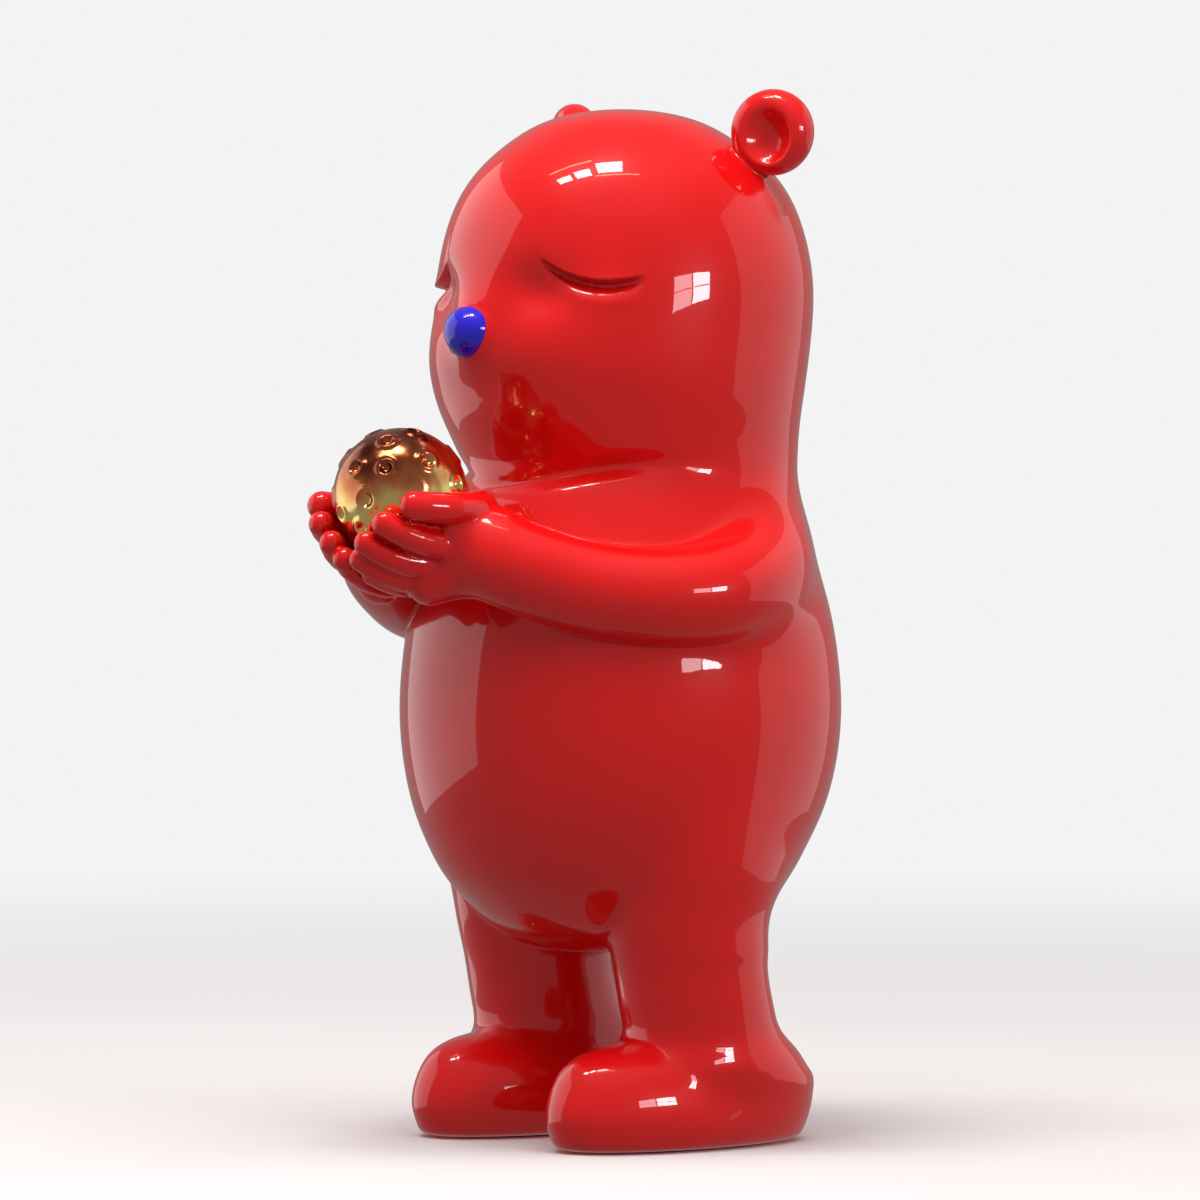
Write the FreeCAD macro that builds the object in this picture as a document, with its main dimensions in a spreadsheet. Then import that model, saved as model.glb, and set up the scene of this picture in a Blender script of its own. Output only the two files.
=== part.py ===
import FreeCAD, Part
import math
import os

# A standing bear figure: hollow lacquered shells joined at neck, shoulders and hips,
# with a cratered ball that rests in its cupped hands. Millimetres, +Z up, face towards -Y.

DOC = FreeCAD.newDocument("BearFigure")
SHEET = DOC.addObject("Spreadsheet::Sheet", "Sizes")
V = FreeCAD.Vector
X_AXIS = V(1, 0, 0)
Z_AXIS = V(0, 0, 1)
ORIGIN = V(0, 0, 0)

SIZES = {
    "wall": 3.5,
    "pad_lift": 0.6,
    "pad_thick": 2.6,
    "pad_half_width": 21,
    "pad_half_depth": 45,
    "leg_x": 45,
    "foot_x": 40.5,
    "foot_y": -5.4,
    "neck_z": 254,
    "neck_y": 5,
    "collar_radius": 59.5,
    "collar_wall": 3,
    "collar_drop": 12,
    "collar_rim": 62,
    "collar_rim_height": 3,
    "peg_wall": 3,
    "hip_peg_radius": 17,
    "hip_peg_low": 74,
    "hip_peg_high": 104,
    "arm_peg_radius": 11,
    "arm_peg_reach": 17,
    "fit_gap": 0.3,
    "snout_y": -46,
    "snout_z": 303,
    "snout_half_width": 30,
    "snout_depth": 30,
    "snout_half_height": 28,
    "nose_y": -73.5,
    "nose_z": 307,
    "nose_half_width": 10.4,
    "nose_depth": 9,
    "nose_half_height": 10,
    "nose_peg_radius": 3,
    "nose_peg_length": 12,
    "eye_turn": 41,
    "eye_low_z": 325,
    "eye_out": 71.5,
    "eye_bow": 34,
    "eye_groove": 2.4,
    "eye_band_height": 10,
    "eye_band_drop": 4,
    "ear_x": 58.5,
    "ear_y": 25,
    "ear_z": 380.5,
    "ear_radius": 16.4,
    "ear_half_thick": 9.6,
    "ear_turn": 26,
    "ear_peg_drop": 40,
    "ear_dish_radius": 15,
    "ear_dish_out": 18,
    "ear_peg_radius": 4.5,
    "ear_peg_length": 30,
    "ball_y": -107,
    "ball_z": 246,
    "ball_radius": 26,
    "ball_skin_radius": 25.5,
    "ball_wall": 3,
    "ball_tongue": 1.3,
    "ball_lap": 3,
    "crater_depth": 2,
    "rim_swell": 1.1,
    "rim_sink": 1.3,
    "finger_radius": 5.2,
    "finger_back": 50,
    "thumb_radius": 6.5,
    "thumb_roll": 82,
    "thumb_back": 40,
    "thumb_reach": 17,
    "lift_lean": 10,
    "lift_clear": 40,
    "palm_x": 24,
    "palm_y": -94,
    "palm_z": 224,
    "palm_radius": 17.5,
    "mound_out": 7,
    "mound_forward": 2,
    "mound_up": 5,
    "mound_radius": 14.5,
    "stand_back": 25.5,
    "past": 10,
    "neck_void_rise": 6,
    "neck_grown_rise": 4,
    "block": 500,
}

# Ellipse rings up each form: height, half width, half depth, centre y.
TORSO = [
    ("crotch", 71, 16, 16, 0),
    ("seat", 76.5, 38, 38, 0),
    ("hip", 90, 57, 57.5, 0),
    ("flank", 112, 73, 73.5, 0),
    ("waist", 138, 81.5, 82, 0),
    ("belly", 166, 84.5, 84.8, 0),
    ("rib", 196, 81.5, 82, 0),
    ("chest", 224, 74.5, 75, 0),
    ("breast", 244, 68.5, 69.5, 1),
    ("collar", 254, 64.5, 65.5, 4.5),
]
HEAD = [
    ("chin", 254, 63.2, 63.6, 6),
    ("jaw", 265, 65, 65.6, 2.5),
    ("cheek", 282, 68.6, 70.5, -0.8),
    ("muzzle", 300, 70.4, 73.4, 0.5),
    ("temple", 322, 70.8, 72, 2.2),
    ("brow", 345, 67.2, 69.2, 2.5),
    ("crown", 367, 57.6, 59, 2),
    ("scalp", 382, 42, 43, 1.5),
    ("cap", 390.5, 25, 25.5, 0.8),
    ("top", 393.6, 9, 9.2, 0.5),
]
LEG = [
    ("ankle", 22, 29, 41, 1),
    ("instep", 38, 30, 34, 1),
    ("shin", 54, 29.5, 30.5, -1),
    ("calf", 74, 29.3, 29.8, -3),
    ("thigh", 94, 30.5, 31.5, -3),
    ("socket", 116, 23, 25, -3),
]
FOOT = [
    ("sole", 0.6, 25.5, 52.5, 0),
    ("welt", 4, 29.6, 56.8, 0),
    ("side", 11, 31, 58.5, 0),
    ("toe", 21, 29.8, 57, 0),
    ("vamp", 29.5, 25.5, 50.5, 0.8),
    ("tongue", 35, 18, 39, 2),
    ("lace", 37.2, 8, 22, 3),
]
# Stations down the left arm: x, y, z and radius.
ARM = [
    ("shoulder_root", 44, 26, 230, 16),
    ("shoulder", 61, 17, 223.5, 19.5),
    ("upper_arm", 74, 3, 215, 20.5),
    ("elbow_back", 78, -14, 210, 19.8),
    ("elbow", 73, -34, 208, 18.8),
    ("forearm", 60, -55, 209.5, 18.4),
    ("lower_arm", 47, -73, 215.5, 18.6),
    ("wrist", 36, -87, 222, 18.6),
    ("heel", 28, -96, 225, 14),
]
# Fingers round the ball: roll out from straight down and reach to the front in degrees, and gap.
FINGERS = [
    ("index", 63, 39, 0.6),
    ("middle", 43, 46, 1.6),
    ("ring", 23, 43, 3.4),
    ("little", 7.5, 36, 4.4),
]
# Craters: turn round the ball, rise above its middle, ring radius.
CRATERS = [
    (33, 53, 3.4),
    (6, 24, 3.3),
    (38, 24, 3.2),
    (79, 31, 3.4),
    (21, -4, 4.0),
    (109, 10, 3.2),
    (58, 6, 6.6),
    (12, -29, 3.2),
    (348, -16, 3.2),
    (85, 68, 3.2),
    (140, 38, 3.4),
    (160, 5, 4.0),
    (195, 32, 3.3),
    (225, 2, 3.4),
    (255, 40, 3.6),
    (285, 8, 4.2),
    (318, 34, 3.3),
    (322, -2, 3.2),
    (200, 68, 3.4),
    (310, 66, 3.0),
    (60, -38, 3.4),
    (110, -26, 3.3),
    (150, -40, 3.8),
    (205, -28, 3.3),
    (250, -36, 3.6),
    (300, -42, 3.3),
    (40, -66, 3.4),
    (180, -70, 3.6),
]


def fill_sheet():
    """Every size as a number in the sheet under a plain alias."""
    rows = dict(SIZES)
    for rings in (TORSO, HEAD, LEG, FOOT):
        for word, height, half_width, half_depth, shift in rings:
            rows[word + "_height"] = height
            rows[word + "_width"] = half_width
            rows[word + "_depth"] = half_depth
            rows[word + "_shift"] = shift
    for word, x_value, y_value, z_value, radius in ARM:
        rows[word + "_x"] = x_value
        rows[word + "_y"] = y_value
        rows[word + "_z"] = z_value
        rows[word + "_radius"] = radius
    for word, roll, reach, gap in FINGERS:
        rows[word + "_roll"] = roll
        rows[word + "_reach"] = reach
        rows[word + "_gap"] = gap
    for number, (alias, value) in enumerate(rows.items(), start=1):
        SHEET.set("A%d" % number, alias)
        SHEET.set("B%d" % number, str(value))
        SHEET.setAlias("B%d" % number, alias)
    DOC.recompute()


def size(alias):
    """The value behind an alias, for the shapes made in code."""
    return float(SHEET.get(alias))


def spot(x_value, y_value, z_value):
    """A point whose y is measured from the torso's axis."""
    return V(x_value, y_value + size("stand_back"), z_value)


def put(thing, **expressions):
    """Bind properties to sheet expressions; a double underscore stands for a dot."""
    for key, text in expressions.items():
        thing.setExpression(key.replace("__", "."), text)
    return thing


def place(thing, x_text="0", y_text="0", z_text="0"):
    """Bind a position to the sheet; y is measured from the torso's axis."""
    thing.setExpression(".Placement.Base.x", x_text)
    thing.setExpression(".Placement.Base.y", y_text + " + Sizes.stand_back")
    thing.setExpression(".Placement.Base.z", z_text)
    return thing


def turn(thing, axis, degrees):
    """Give an object its rotation, before its position is bound."""
    thing.Placement = FreeCAD.Placement(ORIGIN, FreeCAD.Rotation(axis, degrees))
    return thing


def ring_form(name, rings, inset="0", x_text="0", y_text="0", lower="0", upper="0"):
    """A loft through ellipse rings, each drawn in by inset and its ends moved by lower and upper."""
    sections = []
    for number, (word, *_) in enumerate(rings):
        curve = DOC.addObject("Part::Ellipse", name + "_" + word)
        turn(curve, Z_AXIS, 90)
        put(curve, MinorRadius="Sizes.%s_width - %s" % (word, inset))
        put(curve, MajorRadius="Sizes.%s_depth - %s" % (word, inset))
        shift = {0: lower, len(rings) - 1: upper}.get(number, "0")
        height = "Sizes.%s_height + %s" % (word, shift)
        place(curve, x_text, y_text + " + Sizes.%s_shift" % word, height)
        sections.append(curve)
    form = DOC.addObject("Part::Loft", name)
    form.Sections = sections
    form.Solid = True
    form.Ruled = False
    return form


def fuse(name, shapes):
    result = DOC.addObject("Part::MultiFuse", name)
    result.Shapes = shapes
    return result


def cut(name, base, tool):
    result = DOC.addObject("Part::Cut", name)
    result.Base = base
    result.Tool = tool
    return result


def common(name, shapes):
    result = DOC.addObject("Part::MultiCommon", name)
    result.Shapes = shapes
    return result


def mirrored(name, source):
    """The same piece for the figure's right side."""
    result = DOC.addObject("Part::Mirroring", name)
    result.Source = source
    result.Base = ORIGIN
    result.Normal = X_AXIS
    result.Label = name
    return result


def tube(name, radius, wall, length, x_text, y_text, z_text):
    """An upright rod and the smaller rod that bores it."""
    outer = DOC.addObject("Part::Cylinder", name + "_outer")
    put(outer, Radius=radius, Height=length)
    place(outer, x_text, y_text, z_text)
    inner = DOC.addObject("Part::Cylinder", name + "_inner")
    put(inner, Radius="%s - %s" % (radius, wall), Height="%s + 2 * Sizes.past" % length)
    place(inner, x_text, y_text, "%s - Sizes.past" % z_text)
    return outer, inner


def egg(name, depth, half_width, half_height, x_text, y_text, z_text):
    """An egg shape: half sizes along y, x and z."""
    form = DOC.addObject("Part::Ellipsoid", name)
    put(form, Radius1=half_height, Radius2=half_width, Radius3=depth)
    place(form, x_text, y_text, z_text)
    return form


def code_shape(name, shape):
    """A piece whose shape is made from Part functions, with its placement set after it."""
    result = DOC.addObject("Part::Feature", name)
    result.Shape = shape
    result.Placement = FreeCAD.Placement()
    result.Label = name
    return result


def make_torso():
    """The torso's outside, its hollow, and its outside grown by one wall."""
    outer = ring_form("TorsoOuter", TORSO)
    inner = ring_form("TorsoInner", TORSO, "Sizes.wall", lower="Sizes.wall",
                      upper="Sizes.neck_void_rise")
    grown = ring_form("TorsoGrown", TORSO, "-Sizes.wall", lower="-Sizes.wall",
                      upper="Sizes.neck_grown_rise")
    return outer, inner, grown


def make_leg(outer_torso, grown_torso):
    """A hollow leg and foot with a hip spigot, and a recess for its sole pad."""
    shank = ring_form("ShankOuter", LEG, "0", "Sizes.leg_x")
    foot = ring_form("FootOuter", FOOT, "0", "Sizes.foot_x", "Sizes.foot_y")
    skin = cut("LegSkin", fuse("LegOuter", [shank, foot]), outer_torso)
    shank_void = ring_form("ShankInner", LEG, "Sizes.wall", "Sizes.leg_x")
    foot_void = ring_form("FootInner", FOOT, "Sizes.wall", "Sizes.foot_x", "Sizes.foot_y",
                          lower="Sizes.wall + Sizes.pad_thick", upper="-Sizes.wall")
    void = cut("LegVoid", fuse("LegInner", [shank_void, foot_void]), grown_torso)
    shell = cut("LegShell", skin, void)
    length = "Sizes.hip_peg_high - Sizes.hip_peg_low"
    spigot, bore = tube("HipSpigot", "Sizes.hip_peg_radius", "Sizes.peg_wall", length,
                        "Sizes.leg_x", "Sizes.thigh_shift", "Sizes.hip_peg_low")
    solid = cut("LegBored", fuse("LegSpigot", [shell, spigot]), bore)
    pad = DOC.addObject("Part::Ellipse", "PadOutline")
    turn(pad, Z_AXIS, 90)
    put(pad, MajorRadius="Sizes.pad_half_depth", MinorRadius="Sizes.pad_half_width")
    place(pad, "Sizes.foot_x", "Sizes.foot_y", "0")
    slab = DOC.addObject("Part::Extrusion", "left_sole_pad")
    slab.Base = pad
    slab.Dir = Z_AXIS
    slab.Solid = True
    put(slab, LengthFwd="Sizes.pad_thick")
    leg = cut("left_leg", solid, slab)
    hip_hole = DOC.addObject("Part::Cylinder", "HipHole")
    put(hip_hole, Radius="Sizes.hip_peg_radius", Height=length)
    place(hip_hole, "Sizes.leg_x", "Sizes.thigh_shift", "Sizes.hip_peg_low")
    return leg, slab, hip_hole


def make_head():
    """The head shell with its snout, closed eyes, ear and nose sockets, and neck collar."""
    skull = ring_form("HeadOuter", HEAD)
    snout = egg("Snout", "Sizes.snout_depth", "Sizes.snout_half_width", "Sizes.snout_half_height",
                "0", "Sizes.snout_y", "Sizes.snout_z")
    hollow = ring_form("HeadInner", HEAD, "Sizes.wall", lower="-Sizes.neck_void_rise",
                       upper="-Sizes.wall")
    skin = fuse("HeadSkin", [skull, snout])
    shell = cut("HeadShell", skin, hollow)
    drop = "Sizes.neck_z - Sizes.collar_drop"
    collar, bore = tube("Collar", "Sizes.collar_radius", "Sizes.collar_wall",
                        "Sizes.collar_drop + Sizes.collar_rim_height", "0", "Sizes.neck_y", drop)
    rim = DOC.addObject("Part::Cylinder", "CollarRim")
    put(rim, Radius="Sizes.collar_rim", Height="Sizes.collar_rim_height")
    place(rim, "0", "Sizes.neck_y", "Sizes.neck_z")
    joined = cut("HeadJoined", fuse("HeadCollar", [shell, collar, rim]), bore)
    lids = []
    for side in (-1, 1):
        lid = DOC.addObject("Part::Torus", "EyeLine%d" % (side + 2))
        yaw = FreeCAD.Rotation(Z_AXIS, side * size("eye_turn"))
        lid.Placement = FreeCAD.Placement(ORIGIN, yaw.multiply(FreeCAD.Rotation(X_AXIS, 90)))
        put(lid, Radius1="Sizes.eye_bow", Radius2="Sizes.eye_groove")
        lid.Angle3 = 360
        away = "%d * Sizes.eye_out * sin(Sizes.eye_turn * 1deg)" % side
        place(lid, away, "Sizes.temple_shift - Sizes.eye_out * cos(Sizes.eye_turn * 1deg)",
              "Sizes.eye_low_z + Sizes.eye_bow")
        lids.append(lid)
    lines = common("EyeLines", [fuse("EyeRings", lids), eye_band()])
    return joined, lines, skin


def eye_band():
    """The lower part of each eye ring is all that is carved."""
    band = DOC.addObject("Part::Box", "EyeBand")
    put(band, Length="Sizes.block", Width="Sizes.block", Height="Sizes.eye_band_height")
    place(band, "-Sizes.block / 2", "-Sizes.block", "Sizes.eye_low_z - Sizes.eye_band_drop")
    return band


def make_ear():
    """A thick round ear with a dished front, and the peg that holds it in the head."""
    centre = spot(size("ear_x"), size("ear_y"), size("ear_z"))
    yaw = FreeCAD.Rotation(Z_AXIS, size("ear_turn"))
    facing = yaw.multiply(FreeCAD.Rotation(X_AXIS, 90))
    lobe = DOC.addObject("Part::Ellipsoid", "EarLobe")
    lobe.Placement = FreeCAD.Placement(centre, facing)
    put(lobe, Radius1="Sizes.ear_half_thick")
    put(lobe, Radius2="Sizes.ear_radius", Radius3="Sizes.ear_radius")
    place(lobe, "Sizes.ear_x", "Sizes.ear_y", "Sizes.ear_z")
    dish = DOC.addObject("Part::Sphere", "EarDish")
    put(dish, Radius="Sizes.ear_dish_radius")
    front = facing.multVec(V(0, 0, size("ear_dish_out")))
    dish.Placement = FreeCAD.Placement(centre.add(front), FreeCAD.Rotation())
    peg = DOC.addObject("Part::Cylinder", "EarPeg")
    inward = V(-size("ear_x"), -size("ear_y"), -size("ear_peg_drop"))
    peg.Placement = FreeCAD.Placement(centre, FreeCAD.Rotation(Z_AXIS, inward))
    put(peg, Radius="Sizes.ear_peg_radius", Height="Sizes.ear_peg_length")
    place(peg, "Sizes.ear_x", "Sizes.ear_y", "Sizes.ear_z")
    return cut("EarDished", lobe, dish), peg


def make_nose():
    """The nose bead and the peg that holds it in the snout."""
    bead = egg("NoseBead", "Sizes.nose_depth", "Sizes.nose_half_width", "Sizes.nose_half_height",
               "0", "Sizes.nose_y", "Sizes.nose_z")
    peg = DOC.addObject("Part::Cylinder", "NosePeg")
    turn(peg, X_AXIS, -90)
    put(peg, Radius="Sizes.nose_peg_radius", Height="Sizes.nose_peg_length")
    place(peg, "0", "Sizes.nose_y - Sizes.nose_depth / 2", "Sizes.nose_z")
    return bead, peg


def tube_along(stations, inset):
    """A closed form through round sections down a bent path."""
    points = [V(*station[:3]) for station in stations]
    wires = []
    last = len(points) - 1
    for number, station in enumerate(stations):
        ahead = points[min(number + 1, last)]
        behind = points[max(number - 1, 0)]
        circle = Part.makeCircle(station[3] - inset, points[number], ahead.sub(behind))
        wires.append(Part.Wire([circle]))
    return Part.makeLoft(wires, True, False)


def bent_rod(radius, ring_radius, roll, back, reach, centre):
    """A finger: part of a ring round the ball, from behind it to its front, with a round tip."""
    down = V(math.sin(math.radians(roll)), 0, -math.cos(math.radians(roll)))
    front = V(0, -1, 0)
    begin = math.radians(-back)
    end = math.radians(reach)
    points = []
    for angle in (begin, (begin + end) / 2, end):
        along = down * (math.cos(angle) * ring_radius)
        points.append(centre.add(along).add(front * (math.sin(angle) * ring_radius)))
    spine = Part.Wire([Part.Arc(points[0], points[1], points[2]).toShape()])
    heading = down * (-math.sin(begin))
    heading = heading.add(front * math.cos(begin))
    profile = Part.Wire([Part.makeCircle(radius, points[0], heading)])
    rod = spine.makePipeShell([profile], True, True)
    tip = Part.makeSphere(radius, points[2])
    return [rod, tip, Part.makeSphere(radius, points[0])]


def make_hand(centre):
    """The cupped palm, four fingers and thumb of the left hand."""
    palm_at = spot(size("palm_x"), size("palm_y"), size("palm_z"))
    mound_at = palm_at.add(V(size("mound_out"), size("mound_forward"), size("mound_up")))
    parts = [Part.makeSphere(size("palm_radius"), palm_at)]
    parts.append(Part.makeSphere(size("mound_radius"), mound_at))
    radius = size("finger_radius")
    for word, *_ in FINGERS:
        ring_radius = size("ball_radius") + radius + size(word + "_gap")
        parts += bent_rod(radius, ring_radius, size(word + "_roll"), size("finger_back"),
                          size(word + "_reach"), centre)
    thumb = size("thumb_radius")
    ring_radius = size("ball_radius") + thumb + size("index_gap")
    parts += bent_rod(thumb, ring_radius, size("thumb_roll"), size("thumb_back"),
                      size("thumb_reach"), centre)
    return parts


def make_arm(torso_outer, torso_grown):
    """The hollow left arm with its hand, and the solid spigot form at its shoulder."""
    words = [row[0] for row in ARM]
    stations = []
    for word in words:
        at = spot(size(word + "_x"), size(word + "_y"), size(word + "_z"))
        stations.append([at.x, at.y, at.z, size(word + "_radius")])
    ball = spot(0, size("ball_y"), size("ball_z"))
    form = tube_along(stations, 0)
    void = tube_along(stations[:-2], size("wall")).cut(torso_grown.Shape)
    for piece in make_hand(ball):
        form = form.fuse(piece)
    shell = form.cut(torso_outer.Shape).cut(void)
    start = V(*stations[2][:3])
    heading = V(*stations[0][:3]).sub(start)
    reach = heading.Length + size("arm_peg_reach")
    peg = Part.makeCylinder(size("arm_peg_radius"), reach, start, heading)
    bore_radius = size("arm_peg_radius") - size("peg_wall")
    bore = Part.makeCylinder(bore_radius, reach + size("past"), start, heading)
    hole = Part.makeCylinder(size("arm_peg_radius"), reach, start, heading)
    gap = size("fit_gap")
    clear = Part.makeSphere(size("ball_radius") + gap, ball)
    way_out = Part.makeCylinder(size("ball_radius") + gap, size("lift_clear"), ball, lift_way())
    block = size("block")
    keep = Part.makeBox(block, block, block, V(0, -block / 2, 0))
    arm = shell.fuse(peg).cut(bore)
    arm = arm.cut(clear).cut(way_out).common(keep)
    return max(arm.Solids, key=lambda solid: solid.Volume), hole


def lift_way():
    """The way the ball lifts: up and a little forward."""
    lean = math.radians(size("lift_lean"))
    return V(0, -math.sin(lean), math.cos(lean))


def crater_tools(centre):
    """Raised rims and round dimples spread over the ball."""
    radius = size("ball_radius")
    depth = size("crater_depth")
    rims = []
    dimples = []
    for around, rise, ring in CRATERS:
        turned = math.radians(around)
        raised = math.radians(rise)
        level = math.cos(raised)
        way = V(math.sin(turned) * level, -math.cos(turned) * level, math.sin(raised))
        seat = centre.add(way * (radius - size("rim_sink")))
        rims.append(Part.makeTorus(ring, size("rim_swell"), seat, way))
        scoop = (ring * ring + depth * depth) / (2 * depth)
        dimples.append(Part.makeSphere(scoop, centre.add(way * (radius + scoop - depth))))
    return rims, dimples


def make_ball():
    """The ball as two plated half shells; the upper one has a tongue inside the lower."""
    centre = spot(0, size("ball_y"), size("ball_z"))
    inner = size("ball_radius") - size("ball_wall")
    rims, dimples = crater_tools(centre)
    shell = Part.makeSphere(size("ball_skin_radius"), centre).fuse(rims)
    shell = shell.cut(dimples).cut(Part.makeSphere(inner, centre))
    block = size("block")
    low_half = Part.makeBox(block, block, block, centre.sub(V(block / 2, block / 2, block)))
    lap = size("ball_lap")
    band = Part.makeBox(block, block, 2 * lap, centre.sub(V(block / 2, block / 2, lap)))
    tongue = Part.makeSphere(inner, centre)
    tongue = tongue.cut(Part.makeSphere(inner - size("ball_tongue"), centre))
    upper = shell.cut(low_half).fuse(tongue.common(band))
    return upper, shell.common(low_half)


def main():
    """Make every piece, let the pieces that meet cut one another, and write them."""
    fill_sheet()
    torso_outer, torso_inner, torso_grown = make_torso()
    leg, pad, hip_hole = make_leg(torso_outer, torso_grown)
    head_joined, eye_lines, skin = make_head()
    ear_form, ear_peg = make_ear()
    bead, nose_peg = make_nose()
    DOC.recompute()
    arm_shape, arm_hole = make_arm(torso_outer, torso_grown)
    arm = code_shape("left_arm", arm_shape)
    shoulder_hole = code_shape("ShoulderHole", arm_hole)
    upper, lower = make_ball()
    ball_upper = code_shape("ball_upper", upper)
    ball_lower = code_shape("ball_lower", lower)
    holes = [hip_hole, mirrored("HipHoleRight", hip_hole), shoulder_hole,
             mirrored("ShoulderHoleRight", shoulder_hole)]
    torso_shell = cut("TorsoShell", torso_outer, torso_inner)
    torso = cut("torso_shell", torso_shell, fuse("TorsoHoles", holes))
    sockets = [ear_peg, mirrored("EarPegRight", ear_peg), nose_peg]
    head = cut("head_shell", head_joined, fuse("HeadCuts", [eye_lines] + sockets))
    ear = fuse("left_ear", [cut("EarSeated", ear_form, skin), ear_peg])
    nose = fuse("nose", [cut("BeadSeated", bead, skin), nose_peg])
    pieces = [torso, head, leg, pad, ear, nose, arm, ball_upper, ball_lower]
    pieces += [mirrored("right_leg", leg), mirrored("right_sole_pad", pad)]
    pieces += [mirrored("right_ear", ear), mirrored("right_arm", arm)]
    DOC.recompute()
    write(pieces)


def write(pieces):
    """Check every object and write each piece to its own file."""
    for thing in DOC.Objects:
        if "Invalid" in thing.State or "Error" in thing.State:
            raise RuntimeError("not made: " + thing.Name)
    os.makedirs("parts", exist_ok=True)
    for piece in pieces:
        piece.Label = piece.Name
        shape = piece.Shape
        if shape.isNull() or not shape.isValid() or len(shape.Solids) != 1:
            raise RuntimeError("bad shape: " + piece.Name)
        shape.exportStep("parts/%s.step" % piece.Name)


main()
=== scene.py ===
import math

import bmesh
import bpy
import numpy as np
from mathutils import Matrix, Vector


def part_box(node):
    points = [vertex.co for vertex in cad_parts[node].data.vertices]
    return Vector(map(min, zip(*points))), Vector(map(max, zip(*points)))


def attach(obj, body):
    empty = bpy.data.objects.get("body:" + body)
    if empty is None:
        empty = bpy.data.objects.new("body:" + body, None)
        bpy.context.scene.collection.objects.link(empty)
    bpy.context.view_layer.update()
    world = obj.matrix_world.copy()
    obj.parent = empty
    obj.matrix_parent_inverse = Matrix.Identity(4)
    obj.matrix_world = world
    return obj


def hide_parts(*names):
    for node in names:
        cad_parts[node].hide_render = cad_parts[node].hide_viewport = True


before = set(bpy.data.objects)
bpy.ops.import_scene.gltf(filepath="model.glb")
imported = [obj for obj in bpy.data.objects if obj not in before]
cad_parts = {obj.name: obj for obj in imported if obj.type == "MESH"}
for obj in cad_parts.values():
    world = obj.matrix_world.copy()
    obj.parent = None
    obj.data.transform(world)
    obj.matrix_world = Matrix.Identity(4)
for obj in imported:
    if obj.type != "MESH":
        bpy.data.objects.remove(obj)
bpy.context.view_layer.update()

bl_info = {
    "name": "Lacquered bear figure",
    "version": (1, 0, 0),
    "blender": (4, 5, 0),
    "location": "View3D > Sidebar > Bear",
    "description": "Builds a lacquered bear figure that holds a cratered gold ball",
    "category": "Add Mesh",
}

MM = 0.001
FIGURE = "figure"
BALL = "ball"
# The torso's upright axis, in millimetres. Forms are worked out with y measured from it.
AXIS = np.array([0, (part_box("torso_shell")[0][1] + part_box("torso_shell")[1][1]) / 2 / MM, 0])


def node_box(name):
    """A frame node's lowest and highest corners, in millimetres, with y from the torso's axis."""
    low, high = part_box(name)
    return np.array(low) / MM - AXIS, np.array(high) / MM - AXIS


# Places read from the frame, in millimetres.
BALL_LOW, _ = node_box("ball_lower")
_, BALL_HIGH = node_box("ball_upper")
BALL_RADIUS = (BALL_HIGH[0] - BALL_LOW[0]) / 2
BALL_AT = np.array([0, (BALL_LOW[1] + BALL_HIGH[1]) / 2, node_box("ball_lower")[1][2]])
FOOT_LOW, FOOT_HIGH = node_box("left_leg")
FOOT_Y = (FOOT_LOW[1] + FOOT_HIGH[1]) / 2
NOSE_LOW, NOSE_HIGH = node_box("nose")
NOSE_Z = (NOSE_LOW[2] + NOSE_HIGH[2]) / 2
HEAD_TOP = node_box("head_shell")[1][2]

# Ellipse sections up each form: height, half width, half depth, centre y.
TORSO = [
    (71, 1, 1, 0),
    (76, 35, 35, -2),
    (90, 56, 56.5, -2.6),
    (101, 65.8, 66.2, -2.2),
    (112, 72.2, 72.6, -1.7),
    (124, 77.6, 78, -1),
    (142, 82.4, 82.8, -0.3),
    (164, 84.6, 84.8, 0),
    (184, 83.4, 83.6, 0),
    (204, 79.8, 80.2, 0),
    (224, 73.4, 74, 0.5),
    (248, 65.4, 66.4, 2),
    (270, 54, 55, 4),
    (286, 36, 37, 5),
    (294, 1, 1, 5),
]
HEAD = [
    (232, 1, 1, 4),
    (240, 38, 38, 4),
    (252, 57, 57.5, 3.5),
    (268, 65.6, 66.4, 1.6),
    (286, 70, 72.2, -1),
    (305, 71.6, 74, 0),
    (326, 71.6, 72.8, 2.2),
    (348, 67.4, 69, 2.4),
    (368, 57.6, 58.8, 2.2),
    (384, 39.5, 40, 1.4),
    (391.5, 22, 22.3, 1),
    (394, 1, 1, 1),
]
SHANK = [
    (20, 1, 1, 0),
    (26, 25, 30, 1.5),
    (38, 28, 30, 1),
    (52, 28.4, 29.4, -0.5),
    (68, 28.6, 29.4, -3.6),
    (82, 29.4, 30.4, -6),
    (98, 30.6, 31.6, -6.8),
    (118, 27, 28, -6.8),
    (132, 1, 1, -6.8),
]
FOOT = [
    (-6, 1, 1, 0),
    (-3, 20, 45, 0),
    (4, 29, 57.4, 0),
    (12, 31, 59.8, 0),
    (22, 29.8, 58.2, 0),
    (31, 25.4, 52, -1),
    (37.5, 17, 38, -3),
    (41.5, 1, 1, -4),
]
# Stations down the left arm: x, y, z and radius.
ARM = [
    (40, 28, 230, 14),
    (58, 18, 224, 18),
    (71, 3, 216, 19.6),
    (77, -14, 210.5, 19.4),
    (73, -34, 208, 18.8),
    (60, -54, 209.5, 18.2),
    (47, -72, 215, 17.6),
    (37, -86, 221, 16.6),
    (31, -93, 224, 14),
]


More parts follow.
